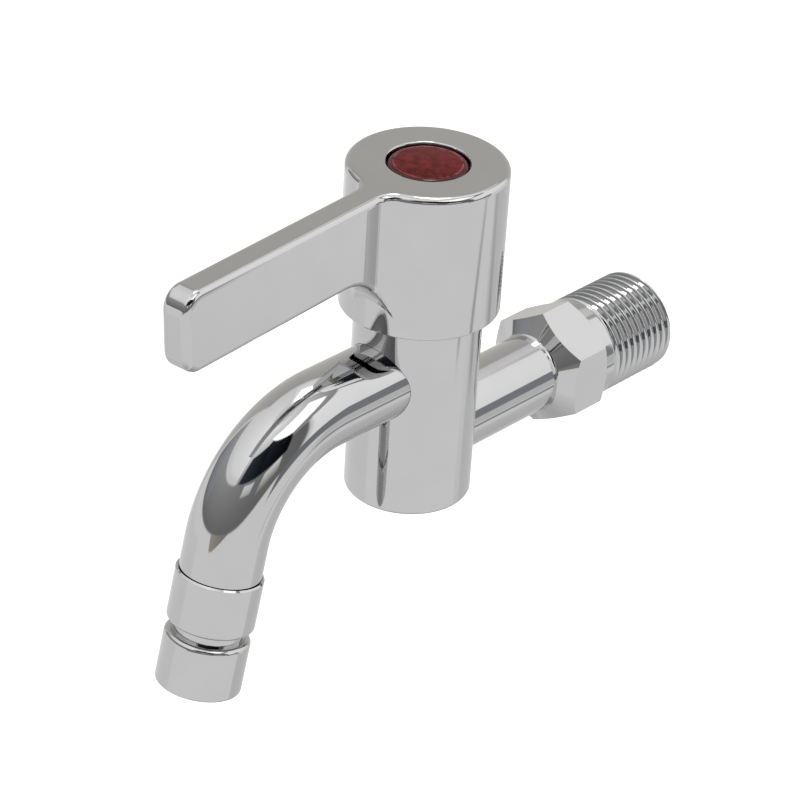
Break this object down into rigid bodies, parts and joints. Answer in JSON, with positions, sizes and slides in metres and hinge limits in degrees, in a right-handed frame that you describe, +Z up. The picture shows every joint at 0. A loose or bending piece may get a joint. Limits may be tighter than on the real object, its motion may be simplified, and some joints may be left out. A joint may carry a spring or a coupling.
{
  "type": "lever bib tap",
  "caption": "Wall-mounted lever bib tap with a threaded inlet, upright barrel, down-bent spout with aerator and quarter-turn lever handle.",
  "frame": {"origin": "on the inlet axis at the rear face of the inlet hexagon, where the threaded shank begins and the tap meets the wall", "axes": "+Z up along the barrel axis, +Y along the inlet into the wall, -Y the way the spout and lever point, +X to the right for a person facing the wall"},
  "size_m": [0.0306, 0.1369, 0.0922],
  "materials": {
    "chrome_plated_brass": "polished",
    "chrome_plated_zinc": "polished",
    "red_cap_plastic": "gloss",
    "seal_rubber": "matte",
    "stainless_steel": "brushed",
    "white_plastic": "matte",
    "bare_brass": "machined",
    "fibre": "matte",
    "ceramic_white": "lapped"
  },
  "bodies": {
    "tap_body": {"barrel": "chrome_plated_brass", "inlet_tail": "chrome_plated_brass", "spout": "chrome_plated_brass", "outlet_sleeve": "chrome_plated_brass", "aerator_collar": "chrome_plated_brass", "aerator_washer": "seal_rubber", "aerator_screen": "stainless_steel", "aerator_insert": "white_plastic", "cartridge_housing": "bare_brass", "housing_washer": "fibre", "seat_seal": "seal_rubber", "fixed_disc": "ceramic_white", "slip_washer": "white_plastic"},
    "handle_set": {"handle": "chrome_plated_zinc", "indicator_cap": "red_cap_plastic", "handle_screw": "stainless_steel", "spindle": "bare_brass", "spindle_o_ring_lower": "seal_rubber", "spindle_o_ring_upper": "seal_rubber", "spindle_clip": "stainless_steel", "moving_disc": "ceramic_white"}
  },
  "joints": [
    {"name": "handle_turn", "type": "hinge", "parent": "tap_body", "child": "handle_set", "pos_m": [0, -0.0466, 0.04], "axis": [0, 0, 1], "range_deg": [0, 90]}
  ]
}
